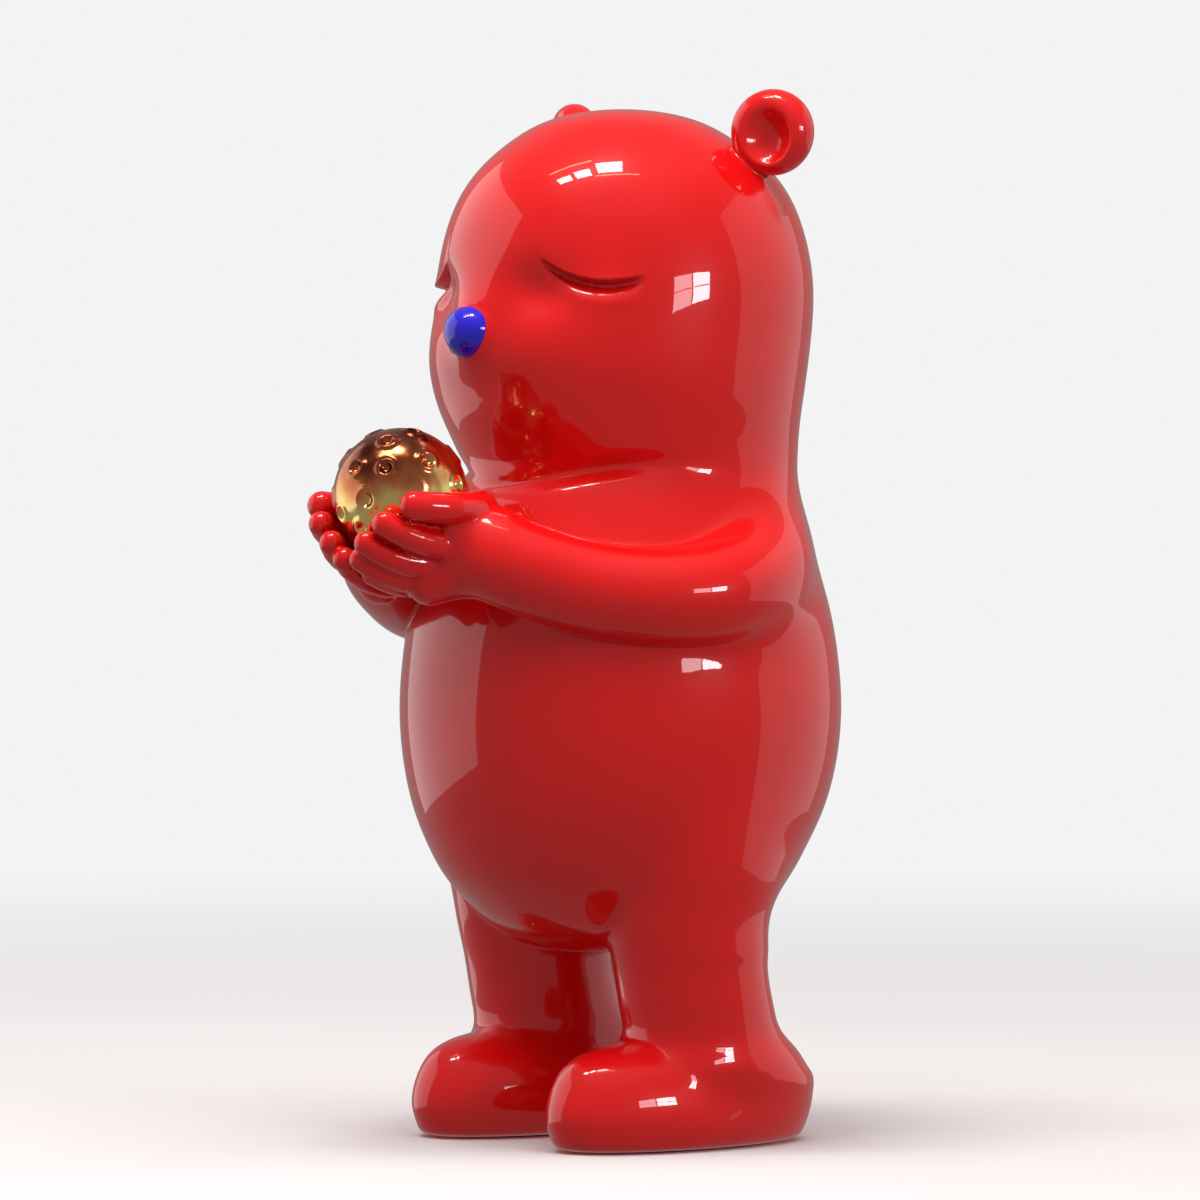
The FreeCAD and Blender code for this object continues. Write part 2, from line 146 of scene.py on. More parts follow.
class Spline:
    """A natural cubic spline through values at knots, straight beyond its ends."""

    def __init__(self, knots, values):
        self.knots = np.array(knots, float)
        self.values = np.array(values, float)
        gaps = np.diff(self.knots)
        steps = np.diff(self.values) / gaps
        count = len(self.knots)
        system = np.eye(count)
        known = np.zeros(count)
        for i in range(1, count - 1):
            system[i, i - 1:i + 2] = gaps[i - 1], 2 * (gaps[i - 1] + gaps[i]), gaps[i]
            known[i] = 6 * (steps[i] - steps[i - 1])
        self.bends = np.linalg.solve(system, known)

    def at(self, x):
        """The value, slope and bend at each x."""
        inside = np.clip(x, self.knots[0], self.knots[-1])
        i = np.clip(np.searchsorted(self.knots, inside) - 1, 0, len(self.knots) - 2)
        gap = self.knots[i + 1] - self.knots[i]
        a = (self.knots[i + 1] - inside) / gap
        b = (inside - self.knots[i]) / gap
        low, high = self.bends[i], self.bends[i + 1]
        value = a * self.values[i] + b * self.values[i + 1]
        value += ((a ** 3 - a) * low + (b ** 3 - b) * high) * gap ** 2 / 6
        slope = (self.values[i + 1] - self.values[i]) / gap
        slope += ((3 * b ** 2 - 1) * high - (3 * a ** 2 - 1) * low) * gap / 6
        return value + slope * (x - inside), slope, a * low + b * high


class Stack:
    """A closed form through ellipse sections, as a distance in millimetres, below 0 inside."""

    def __init__(self, sections, centre=(0, 0), soft=24):
        heights, widths, depths, shifts = (np.array(c, float) for c in zip(*sections))
        self.area = Spline(heights, widths ** 2 * np.where(widths > 1, 1, 0))
        self.ratio = Spline(heights[1:-1], (widths / depths)[1:-1])
        self.shift = Spline(heights[1:-1], shifts[1:-1])
        self.span = heights[1], heights[-2]
        self.centre = centre
        self.soft = soft

    def __call__(self, p):
        area, slope, _ = self.area.at(p[:, 2])
        level = np.clip(p[:, 2], *self.span)
        ratio = self.ratio.at(level)[0]
        x = p[:, 0] - self.centre[0]
        y = ratio * (p[:, 1] - self.centre[1] - self.shift.at(level)[0])
        steep = 4 * (x * x + (ratio * y) ** 2) + slope * slope
        return (x * x + y * y - area) / np.sqrt(steep + self.soft ** 2)


def egg(p, centre, radii, turn=None):
    """An ellipsoid as a distance."""
    q = p - np.array(centre, float)
    if turn is not None:
        q = q @ turn
    radii = np.array(radii, float)
    value = ((q / radii) ** 2).sum(1) - 1
    steep = 4 * ((q / radii ** 2) ** 2).sum(1)
    return value / np.sqrt(steep + (0.8 / radii.min()) ** 2)


def rod(p, start, end, thick_start, thick_end):
    """A round ended rod that tapers between two points, as a distance."""
    start, end = np.array(start, float), np.array(end, float)
    way = end - start
    share = np.clip(((p - start) @ way) / (way @ way), 0, 1)
    reach = np.linalg.norm(p - start - share[:, None] * way, axis=1)
    return reach - (thick_start + share * (thick_end - thick_start))


class BentRod:
    """A round rod of changing thickness down a smooth path, as a distance.

    It is many balls, softly joined.
    """

    # How softly the balls join, in millimetres.
    SOFT = 2.5

    def __init__(self, stations, spacing=4.5):
        points = np.array(stations, float)
        lengths = np.linalg.norm(np.diff(points[:, :3], axis=0), axis=1)
        knots = np.concatenate([[0], np.cumsum(lengths)])
        marks = np.linspace(0, knots[-1], int(knots[-1] / spacing) + 1)
        self.track = np.stack([Spline(knots, column).at(marks)[0] for column in points.T], axis=1)
        swell = np.sqrt(2 * math.pi * self.track[:, 3] * self.SOFT) / (marks[1] - marks[0])
        self.track[:, 3] -= self.SOFT * np.log(swell)

    def __call__(self, p):
        total = np.zeros(len(p))
        for x, y, z, thick in self.track:
            away = np.sqrt((p[:, 0] - x) ** 2 + (p[:, 1] - y) ** 2 + (p[:, 2] - z) ** 2)
            total += np.exp((thick - away) / self.SOFT)
        return -self.SOFT * np.log(total + 1e-30)


def arc_points(start, end, reach, count):
    """Points along the great circle between two ways from the ball's middle, in millimetres."""
    start, end = (np.array(way, float) / np.linalg.norm(way) for way in (start, end))
    angle = math.acos(float(start @ end))
    for share in np.linspace(0, 1, count):
        a, b = math.sin((1 - share) * angle), math.sin(share * angle)
        yield BALL_AT + reach * (a * start + b * end) / math.sin(angle)


def finger_rod(p, start, end, reach, thick):
    """A finger bent round the ball between two ways from its middle, as a distance."""
    nearest = np.full(len(p), 1000.0)
    points = list(arc_points(start, end, reach, 7))
    for step, (here, there) in enumerate(zip(points, points[1:])):
        slim = [thick * (1.1 - 0.035 * (step + k)) for k in (0, 1)]
        nearest = np.minimum(nearest, rod(p, here, there, *slim))
    return nearest


def join(a, b, blend):
    """Two distances as one form, with a fillet about as wide as blend."""
    near = np.maximum(blend - np.abs(a - b), 0) / blend
    return np.minimum(a, b) - near ** 3 * blend / 6


def carve(a, b, blend):
    """The first form with the second cut out of it."""
    return -join(-a, b, blend)


def ease(x, low, high):
    """0 below low, 1 above high and smooth between."""
    share = np.clip((x - low) / (high - low), 0, 1)
    return share * share * (3 - 2 * share)


# ---------------------------------------------------------------- the figure's forms

# Heights of the soles, where the pads stand out below them, and of the neck's joint line at the front.
GROUND = 0.6
NECK_Z = 250
# The left ear's middle, and the ways to its outer side and its dished front.
EAR_AT = np.array([59, 25.8, 383.6])
EAR_TURN = math.radians(26)
EAR_SIDE = np.array([math.cos(EAR_TURN), math.sin(EAR_TURN), 0])
EAR_FRONT = np.array([math.sin(EAR_TURN), -math.cos(EAR_TURN), 0])
# The closed eye's middle, as a turn from the front and a height, and its half width in radians.
EYE_TURN = math.radians(39.5)
EYE_Z = 325.5
EYE_HALF = 19 / 71
# The snout's ends and their radii, in millimetres.
SNOUT = ((0, -30, 324), (0, -70.5, 307.5), 31, 8.4)
# Fingers and thumb of the left hand: ways from the ball's middle to knuckle and tip, distance
# from the ball's middle, and radius.
FINGERS = [
    ((0.80, 0.05, -0.60), (0.61, -0.71, -0.34), BALL_RADIUS + 5.8, 5.5),
    ((0.60, 0.16, -0.80), (0.33, -0.76, -0.56), BALL_RADIUS + 6.2, 5.4),
    ((0.40, 0.22, -0.90), (0.15, -0.68, -0.72), BALL_RADIUS + 7.4, 5.2),
    ((0.24, 0.26, -0.95), (0.14, -0.50, -0.86), BALL_RADIUS + 8.8, 4.4),
    ((0.90, 0.50, -0.16), (0.86, -0.48, -0.12), BALL_RADIUS + 6.6, 6.2),
]

torso_form = Stack(TORSO)
head_form = Stack(HEAD)
arm_form = BentRod(ARM)
shank_form = Stack(SHANK, (45, 0))
foot_form = Stack(FOOT, (40.5, FOOT_Y))


def eye_line(p, turn):
    """How far a closed eye's carved line and lid push the head's skin in or out."""
    along = (turn - EYE_TURN) / EYE_HALF
    line = EYE_Z + 4.6 * along ** 2 - 3.3 * along
    ends = np.clip(1 - np.abs(along / 1.08) ** 3, 0, 1)
    rise = p[:, 2] - line
    lid = 1.6 * np.exp(-np.maximum(rise, 0) / 6.5) * ease(rise, -0.5, 1.6) * ends
    groove = 4.2 * np.exp(-np.maximum(-rise - 1.6, 0) / 1.7) * (1 - ease(rise, -0.5, 1.6)) * ends
    lip = 0.4 * np.exp(-((rise + 7) / 2.6) ** 2) * ends
    return groove - lid - lip


def hollow(p, turn, turn_at, z_at, turn_wide, z_wide, depth):
    """A soft dent in the head round one place."""
    return depth * np.exp(-((turn - turn_at) / turn_wide) ** 2 - ((p[:, 2] - z_at) / z_wide) ** 2)


def head(p):
    """The head with its snout and the left eye."""
    turn = np.arctan2(p[:, 0], -(p[:, 1] - 2))
    form = head_form(p)
    form = form + hollow(p, turn, 0.42, 322, 0.2, 10, 5)
    form = form + hollow(p, turn, 0.12, 286, 0.42, 9, 2)
    form = join(form, rod(p, *SNOUT), 16)
    return form + eye_line(p, turn)


def ear(p):
    """The left ear: a thick round cushion on a stem, dished at its front."""
    q = p - EAR_AT
    out = q @ EAR_FRONT
    side = q @ EAR_SIDE
    up = q[:, 2]
    spread = np.maximum(np.sqrt(side ** 2 + up ** 2) - 9.6, 0)
    form = np.sqrt(spread ** 2 + (out * 0.9) ** 2) - 6.8
    dish = egg(np.stack([side - 0.9, up + 2.4, out - 14], 1), (0, 0, 0), (10.6, 12.6, 12))
    form = carve(form, dish, 2.4)
    stem = rod(p, EAR_AT - 0.08 * EAR_AT, (46, 19, 367), 8, 9)
    return join(form, stem, 3)


def leg(p):
    """The left leg and foot, creased at the instep and smooth at the heel."""
    shank = shank_form(p)
    foot = foot_form(p)
    blend = 7 + 29 * ease(p[:, 1], -34, 44)
    return join(shank, foot, blend)


# The palm and the root of the thumb: two points from the ball's middle, and the radius at each.
PALM = ((30, 17, -22), (15, 2, -32), 14.5, 9)
THUMB_ROOT = ((31, 18, -17), (27, 6, -13), 13.5, 9)


def hand(p):
    """The left hand, cupped under the ball."""
    palm, thumb = (rod(p, BALL_AT + start, BALL_AT + end, *radii)
                   for start, end, *radii in (PALM, THUMB_ROOT))
    form = join(palm, thumb, 8)
    for finger in FINGERS:
        form = join(form, finger_rod(p, *finger), 2)
    return form


# How far forward the ball leans as it lifts, how far it is kept clear, and the play round it.
LIFT_LEAN = math.radians(10)
LIFT_ROOM = 60
BALL_PLAY = 0.5


def ball_room(p):
    """The space the ball needs, and its way out."""
    q = p - BALL_AT
    way = np.array([0, -math.sin(LIFT_LEAN), math.cos(LIFT_LEAN)])
    lifted = np.clip(q @ way, 0, LIFT_ROOM)
    return np.linalg.norm(q - lifted[:, None] * way, axis=1) - BALL_RADIUS - BALL_PLAY


def near(p, low, high):
    """Which points are inside a box."""
    return np.all((p > np.array(low)) & (p < np.array(high)), axis=1)


def within(form, p, low, high, far=1000.0):
    """A form's distance inside a box, and a plain large one elsewhere."""
    inside = near(p, low, high)
    values = np.full(len(p), far)
    if inside.any():
        values[inside] = form(p[inside])
    return values


def arm(p):
    """The left arm and hand, cut clear of the ball."""
    form = arm_form(p)
    fingers = within(hand, p, (-30, -170, 175), (75, -45, 275))
    form = join(form, fingers, 9)
    return carve(form, within(ball_room, p, (-30, -170, 185), (70, -55, 300)), 0.8)


def forms(p):
    """The distances of torso, head, ear, arm and leg, for either side."""
    q = np.array(p, float)
    q[:, 0] = np.abs(q[:, 0])
    return {
        "torso": torso_form(q),
        "head": head(q),
        "ear": within(ear, q, (25, -10, 340), (95, 60, 415)),
        "arm": within(arm, q, (-5, -190, 125), (160, 130, 330)),
        "leg": within(leg, q, (-20, -120, -30), (120, 110, 190)),
    }


def neck_line(p):
    """How far each point is above the crease under the chin."""
    turn = np.arctan2(np.abs(p[:, 0]), -(p[:, 1] - 2))
    return p[:, 2] - NECK_Z - 8 * ease(turn, 0, 1.15), turn


def skin(p):
    """The whole figure as one distance, with its fillets."""
    f = forms(p)
    y = p[:, 1]
    x = np.abs(p[:, 0])
    form = join(f["torso"], f["head"], 6 + 14 * ease(y, -42, 20))
    rise, turn = neck_line(p)
    form = form + 2.6 * np.exp(-(rise / 3.4) ** 2) * (1 - ease(turn, 0.7, 1.35))
    form = join(form, f["arm"], 5 + 23 * ease(y, -32, 26))
    hip_blend = 6 + 26 * ease((x - 45) * 0.8 + y * 0.6, -22, 18)
    form = join(form, f["leg"], hip_blend)
    form = join(form, f["ear"], 3)
    return -join(-form, p[:, 2] - GROUND, 4)


STEP = 0.12
STEPS = STEP * np.array([(1, 1, 1), (1, -1, -1), (-1, 1, -1), (-1, -1, 1)])


def slope_of(field, p):
    """A field's value and gradient at each point, from four nearby ones."""
    values = [field(p + step) for step in STEPS]
    total = sum(value[:, None] * step for value, step in zip(values, STEPS))
    return sum(values) / 4, total / (4 * STEP ** 2)


def settle(p, field, rounds=6, reach=2.5):
    """Move points onto a field's zero surface."""
    for _ in range(rounds):
        value, grad = slope_of(field, p)
        steep = np.maximum((grad * grad).sum(1), 0.05)
        step = np.clip(value / steep, -reach, reach)
        p = p - step[:, None] * grad
    return p


# ---------------------------------------------------------------- mesh helpers


def new_piece(name, bm):
    """An object at the origin that holds this bmesh."""
    mesh = bpy.data.meshes.new(name)
    bm.to_mesh(mesh)
    bm.free()
    mesh.shade_smooth()
    piece = bpy.data.objects.new(name, mesh)
    bpy.context.scene.collection.objects.link(piece)
    return piece


def points_of(mesh):
    """A mesh's points in millimetres, with y from the torso's axis."""
    flat = np.empty(len(mesh.vertices) * 3, np.float32)
    mesh.vertices.foreach_get("co", flat)
    return flat.reshape(-1, 3).astype(float) / MM - AXIS


def set_points(mesh, p):
    """Put a mesh's points back after points_of."""
    mesh.vertices.foreach_set("co", ((p + AXIS) * MM).astype(np.float32).ravel())
    mesh.update()


def plain_ball():
    """A small ball mesh of radius 1, to block forms out with."""
    bm = bmesh.new()
    bmesh.ops.create_icosphere(bm, subdivisions=3, radius=1)
    mesh = bpy.data.meshes.new("plain ball")
    bm.to_mesh(mesh)
    bm.free()
    return mesh


def stack_balls(sections, at, step):
    """Flat balls up a form, as centres and radii."""
    form = Stack(sections)
    for z in np.arange(sections[0][0] + step, sections[-1][0], step):
        level = np.array([z])
        width = math.sqrt(max(form.area.at(level)[0][0], 40))
        depth = width / form.ratio.at(np.clip(level, *form.span))[0][0]
        yield (at[0], at[1] + form.shift.at(level)[0][0], z), (width, depth, step)


def side_balls():
    """Balls that block out the left ear, leg, foot, arm and hand."""
    yield from stack_balls(SHANK, (45, 0), 8)
    yield from stack_balls(FOOT, (40.5, FOOT_Y), 8)
    for x, y, z, thick in BentRod(ARM).track:
        yield (x, y, z), (thick + BentRod.SOFT,) * 3
    yield tuple(EAR_AT), (13, 13, 16)
    yield (50, 21, 370), (9, 9, 12)
    for centre, thick in (((30, 17, -22), 14.5), ((22, 9, -27), 11.5), ((15, 2, -32), 9)):
        yield tuple(BALL_AT + centre), (thick,) * 3
    for start, end, reach, thick in FINGERS:
        for point in arc_points(start, end, reach, 14):
            yield tuple(point), (thick,) * 3


def rough_block():
    """The figure roughly blocked out in balls, all overlapping."""
    ball = plain_ball()
    balls = [*stack_balls(TORSO, (0, 0), 12), *stack_balls(HEAD, (0, 0), 12)]
    balls.append(((0, -66, 310), (16, 16, 14)))
    for centre, radii in side_balls():
        balls.append((centre, radii))
        balls.append(((-centre[0], *centre[1:]), radii))
    bm = bmesh.new()
    for centre, radii in balls:
        one = ball.copy()
        sizes = Matrix.Diagonal(Vector([*(np.array(radii, float) * MM), 1]))
        one.transform(Matrix.Translation(Vector((np.array(centre, float) + AXIS) * MM)) @ sizes)
        bm.from_mesh(one)
        bpy.data.meshes.remove(one)
    bpy.data.meshes.remove(ball)
    return new_piece("block", bm)


def remesh(piece, voxel):
    """Give the piece an even mesh of this voxel size, in millimetres."""
    change = piece.modifiers.new("Even mesh", "REMESH")
    change.mode = "VOXEL"
    change.voxel_size = voxel * MM
    bpy.context.view_layer.update()
    graph = bpy.context.evaluated_depsgraph_get()
    mesh = bpy.data.meshes.new_from_object(piece.evaluated_get(graph))
    piece.modifiers.clear()
    old = piece.data
    piece.data = mesh
    bpy.data.meshes.remove(old)


def relax(piece, rounds):
    """Even out the mesh without changing its form."""
    bm = bmesh.new()
    bm.from_mesh(piece.data)
    for _ in range(rounds):
        bmesh.ops.smooth_vert(bm, verts=bm.verts, factor=0.5,
                              use_axis_x=True, use_axis_y=True, use_axis_z=True)
    bm.to_mesh(piece.data)
    bm.free()


def refine(piece, wanted):
    """Split the faces whose points are wanted, for fine detail."""
    bm = bmesh.new()
    bm.from_mesh(piece.data)
    marks = wanted(points_of(piece.data))
    edges = [e for e in bm.edges if marks[e.verts[0].index] and marks[e.verts[1].index]]
    bmesh.ops.subdivide_edges(bm, edges=edges, cuts=1, use_grid_fill=True, use_single_edge=True)
    bmesh.ops.triangulate(bm, faces=[f for f in bm.faces if len(f.verts) > 4])
    bm.to_mesh(piece.data)
    bm.free()


def fine_places(p):
    """Hands, eyes and ears need a finer mesh."""
    q = np.abs(p[:, 0])
    hands = (p[:, 1] < -84) & (p[:, 2] > 195) & (p[:, 2] < 262)
    eyes = (np.abs(p[:, 2] - 333) < 14) & (p[:, 1] < -22) & (q > 20)
    ears = (p[:, 2] > 362) & (q > 38)
    return hands | eyes | ears


# Mesh sizes of the first pass and of the finished skin, in millimetres.
COARSE = 2.6
FINE = 1.3


def whole_skin():
    """One even mesh over the whole figure, settled on its smooth form."""
    piece = rough_block()
    remesh(piece, COARSE)
    set_points(piece.data, settle(points_of(piece.data), skin, 6))
    remesh(piece, FINE)
    set_points(piece.data, settle(points_of(piece.data), skin, 2))
    relax(piece, 2)
    set_points(piece.data, settle(points_of(piece.data), skin, 2))
    refine(piece, fine_places)
    set_points(piece.data, settle(points_of(piece.data), skin, 2))
    return piece


# Each pair of pieces parts where one of these is 0; the first named piece is on its low side.
BORDERS = {
    "head": lambda p, f: -neck_line(p)[0],
    "ear": lambda p, f: np.where(p[:, 2] > 340, f["ear"] - f["head"], 1000),
    "arm": lambda p, f: f["arm"] - np.minimum(f["torso"], f["head"]),
    "leg": lambda p, f: f["leg"] - f["torso"],
    "side": lambda p, f: p[:, 0],
}
# How far each shell's edge turns inwards, in millimetres.
LIP = 1.6


def mark_borders(mesh):
    """Store each border's value on the mesh, so that cuts can carry it along."""
    p = points_of(mesh)
    f = forms(p)
    for name, value in BORDERS.items():
        mark = mesh.attributes.new(name, "FLOAT", "POINT")
        mark.data.foreach_set("value", value(p, f).astype(np.float32))


def cut_border(bm, name, reach=None):
    """Cut the mesh exactly along one border."""
    marks = bm.verts.layers.float[name]
    limit = bm.verts.layers.float[reach] if reach else None
    places = {}
    for edge in bm.edges:
        a, b = (v[marks] for v in edge.verts)
        if a * b < 0 and (limit is None or max(v[limit] for v in edge.verts) < 0):
            places[edge] = a / (a - b)
    cut = bmesh.ops.bisect_edges(bm, edges=list(places), cuts=1, edge_percents=places)
    points = [g for g in cut["geom_split"] if isinstance(g, bmesh.types.BMVert)]
    bmesh.ops.connect_verts(bm, verts=points)


def owner(face, layers):
    """The name of the piece that a face belongs to."""
    total = {name: sum(v[layer] for v in face.verts) for name, layer in layers.items()}
    side = "left_" if total["side"] > 0 else "right_"
    for name in ("leg", "arm", "ear"):
        if total[name] < 0:
            return side + name
    return "head" if total["head"] < 0 else "torso"


def open_loops(bm):
    """Each closed loop of open edges, as its points."""
    waiting = {v for e in bm.edges if e.is_boundary for v in e.verts}
    while waiting:
        loop = [waiting.pop()]
        for point in loop:
            for edge in point.link_edges:
                other = edge.other_vert(point)
                if edge.is_boundary and other in waiting:
                    waiting.remove(other)
                    loop.append(other)
        yield loop


def close_up(bm):
    """Turn each open edge inwards and plug it, out of sight under the neighbouring shell."""
    rims = [e for e in bm.edges if e.is_boundary]
    inner = bmesh.ops.extrude_edge_only(bm, edges=rims)["geom"]
    points = [g for g in inner if isinstance(g, bmesh.types.BMVert)]
    places = np.array([v.co for v in points], float) / MM - AXIS
    _, grad = slope_of(skin, places)
    grad /= np.linalg.norm(grad, axis=1)[:, None]
    for point, way in zip(points, grad):
        point.co -= Vector(way * LIP * MM)
    for loop in list(open_loops(bm)):
        middle_point = sum((v.co for v in loop), Vector()) / len(loop)
        rims = {e for v in loop for e in v.link_edges if e.is_boundary}
        inner = bmesh.ops.extrude_edge_only(bm, edges=list(rims))["geom"]
        points = [g for g in inner if isinstance(g, bmesh.types.BMVert)]
        bmesh.ops.pointmerge(bm, verts=points, merge_co=middle_point)
    bmesh.ops.recalc_face_normals(bm, faces=bm.faces)


def smooth_normals(mesh):
    """Give each point the exact normal of the smooth form, so gloss shows no facets."""
    _, grad = slope_of(skin, points_of(mesh))
    grad /= np.maximum(np.linalg.norm(grad, axis=1), 1e-9)[:, None]
    mesh.normals_split_custom_set_from_vertices(grad)


def split_skin(whole):
    """Part the whole skin into its separate shells along the joint lines."""
    mark_borders(whole.data)
    bm = bmesh.new()
    bm.from_mesh(whole.data)
    for name in ("head", "ear", "arm", "leg"):
        cut_border(bm, name)
    cut_border(bm, "side", "arm")
    layers = {name: bm.verts.layers.float[name] for name in BORDERS}
    owners = [owner(face, layers) for face in bm.faces]
    for layer in layers.values():
        bm.verts.layers.float.remove(layer)
    shells = {}
    for name in sorted(set(owners)):
        part = bm.copy()
        spare = [face for face, held in zip(part.faces, owners) if held != name]
        bmesh.ops.delete(part, geom=spare, context="FACES")
        close_up(part)
        shell = new_piece(name + "_lacquer", part)
        smooth_normals(shell.data)
        shells[name] = shell
    bm.free()
    bpy.data.objects.remove(whole)
    return shells


# ---------------------------------------------------------------- finishes


def linear(code):
    """An sRGB hex colour as linear red, green, blue and alpha."""
    values = [int(code[i:i + 2], 16) / 255 for i in (1, 3, 5)]
    lit = [v / 12.92 if v <= 0.04045 else ((v + 0.055) / 1.055) ** 2.4 for v in values]
    return (*lit, 1)


def node(tree, kind, settings=None, **links):
    """Add a node, set its values and link its sockets."""
    made = tree.nodes.new(kind)
    for key, value in (settings or {}).items():
        if key in made.inputs:
            made.inputs[key].default_value = value
        else:
            setattr(made, key, value)
    for key, source in links.items():
        tree.links.new(source, made.inputs[key.replace("_", " ")])
    return made


def finish(name):
    """A new material and its shader."""
    material = bpy.data.materials.new(name)
    material.use_nodes = True
    return material, material.node_tree, material.node_tree.nodes["Principled BSDF"]


def gloss_lacquer(name, colour, peel_height):
    """Sprayed and polished lacquer over vinyl: deep wet gloss with a trace of orange peel."""
    material, tree, shader = finish(name)
    place = node(tree, "ShaderNodeTexCoord").outputs["Object"]
    drift = node(tree, "ShaderNodeTexNoise", {"Scale": 14.0, "Detail": 2.0}, Vector=place)
    tone = node(tree, "ShaderNodeValToRGB", Fac=drift.outputs["Fac"])
    tone.color_ramp.elements[0].position = 0.3
    tone.color_ramp.elements[0].color = [0.9 * value for value in colour[:3]] + [1]
    tone.color_ramp.elements[1].position = 0.7
    tone.color_ramp.elements[1].color = colour
    tree.links.new(tone.outputs["Color"], shader.inputs["Base Color"])
    peel = node(tree, "ShaderNodeTexNoise", {"Scale": 1 / (6 * MM), "Detail": 1.0}, Vector=place)
    bump = node(tree, "ShaderNodeBump", {"Strength": 0.035, "Distance": peel_height},
                Height=peel.outputs["Fac"])
    tree.links.new(bump.outputs["Normal"], shader.inputs["Coat Normal"])
    shader.inputs["Roughness"].default_value = 0.32
    shader.inputs["Specular IOR Level"].default_value = 0.1
    shader.inputs["Coat Weight"].default_value = 1.0
    shader.inputs["Coat Roughness"].default_value = 0.025
    shader.inputs["Coat IOR"].default_value = 1.55
    return material


def gold_plate_with_painted_reflection(colour):
    """Gold plated over a smooth shell: a soft mirror in its own gold, with a painted reflection of the
    red figure in copper and dark brown towards the top.
    """
    material, tree, shader = finish("Gold plating with painted reflection")
    place = node(tree, "ShaderNodeTexCoord").outputs["Object"]
    centre = (BALL_AT + AXIS) * MM
    shifted = node(tree, "ShaderNodeMapping", {"Location": tuple(-centre)}, Vector=place)
    out = shifted.outputs["Vector"]
    drift = node(tree, "ShaderNodeTexNoise", {"Scale": 1 / (22 * MM), "Detail": 2.0}, Vector=out)
    # Painted reflection: the base colour turns from gold to copper and dark brown towards the ball's
    # top, front and right side. It stands in for the red figure mirrored in the ball.
    rise = node(tree, "ShaderNodeVectorMath", {"operation": "DOT_PRODUCT"}, Vector=out)
    rise.inputs[1].default_value = Vector((-0.35, -0.3, 0.88)) / (2.6 * BALL_RADIUS * MM)
    total = node(tree, "ShaderNodeMath", {"operation": "ADD"})
    tree.links.new(rise.outputs["Value"], total.inputs[0])
    tree.links.new(drift.outputs["Fac"], total.inputs[1])
    tone = node(tree, "ShaderNodeValToRGB", Fac=total.outputs["Value"])
    tone.color_ramp.elements[0].position = 0.44
    tone.color_ramp.elements[0].color = colour
    tone.color_ramp.elements[1].position = 0.86
    tone.color_ramp.elements[1].color = linear("#6E2A1C")
    tone.color_ramp.elements.new(0.6).color = linear("#DB8A5A")
    tree.links.new(tone.outputs["Color"], shader.inputs["Base Color"])
    shader.inputs["Metallic"].default_value = 1.0
    shader.inputs["Roughness"].default_value = 0.18
    ripple = node(tree, "ShaderNodeTexNoise", {"Scale": 1 / (3 * MM), "Detail": 2.0}, Vector=place)
    bump = node(tree, "ShaderNodeBump", {"Strength": 0.12, "Distance": 0.3 * MM},
                Height=ripple.outputs["Fac"])
    tree.links.new(bump.outputs["Normal"], shader.inputs["Normal"])
    return material


def sole_foam():
    """Foam rubber: matt, black and faintly grained."""
    material, tree, shader = finish("Foam rubber")
    place = node(tree, "ShaderNodeTexCoord").outputs["Object"]
    grain = node(tree, "ShaderNodeTexNoise", {"Scale": 1 / (1.2 * MM), "Detail": 4.0}, Vector=place)
    tone = node(tree, "ShaderNodeValToRGB", Fac=grain.outputs["Fac"])
    tone.color_ramp.elements[0].color = linear("#0E0E0F")
    tone.color_ramp.elements[1].color = linear("#242426")
    tree.links.new(tone.outputs["Color"], shader.inputs["Base Color"])
    shader.inputs["Roughness"].default_value = 0.9
    return material


def dress(piece, material):
    """Give the whole piece one material."""
    piece.data.materials.clear()
    piece.data.materials.append(material)


# ---------------------------------------------------------------- the ball and nose

# Craters: turn round the ball from its front, rise above its middle, ring radius in millimetres.
CRATERS = [
    (33, 53, 3.4), (6, 24, 3.3), (38, 24, 3.2), (79, 31, 3.4), (21, -4, 4.0), (109, 10, 3.2),
    (58, 6, 6.6), (12, -29, 3.2), (348, -16, 3.2), (85, 68, 3.2), (140, 38, 3.4), (160, 5, 4.0),
    (195, 32, 3.3), (225, 2, 3.4), (255, 40, 3.6), (285, 8, 4.2), (318, 34, 3.3), (322, -2, 3.2),
    (200, 68, 3.4), (310, 66, 3.0), (60, -38, 3.4), (110, -26, 3.3), (150, -40, 3.8),
    (205, -28, 3.3), (250, -36, 3.6), (300, -42, 3.3), (40, -66, 3.4), (180, -70, 3.6),
]


# How far the ball's plain skin lies inside its full radius, to leave room for the rims.
RIM_ROOM = 0.5


def crater_ball(rim_height):
    """A ball whose skin rises in ring rims and dips inside them."""
    bm = bmesh.new()
    place = Matrix.Translation(Vector((BALL_AT + AXIS) * MM))
    bmesh.ops.create_icosphere(bm, subdivisions=7, radius=BALL_RADIUS * MM, matrix=place)
    ball = new_piece("cratered_ball", bm)
    out = points_of(ball.data) - BALL_AT
    out /= np.linalg.norm(out, axis=1)[:, None]
    base = BALL_RADIUS - RIM_ROOM
    rise = np.zeros(len(out))
    for turn, lift, ring in CRATERS:
        turn, lift = math.radians(turn), math.radians(lift)
        way = np.array([math.sin(turn) * math.cos(lift), -math.cos(turn) * math.cos(lift),
                        math.sin(lift)])
        away = base * np.arccos(np.clip(out @ way, -1, 1))
        depth = 1.5 if ring < 5 else 0.5
        rim = rim_height / MM * (1 if ring < 5 else 0.4)
        rise += rim * np.exp(-((away - ring) / (0.32 * ring)) ** 2)
        rise -= depth * np.exp(-(away / (0.62 * ring)) ** 4)
    set_points(ball.data, BALL_AT + (base + rise)[:, None] * out)
    return ball


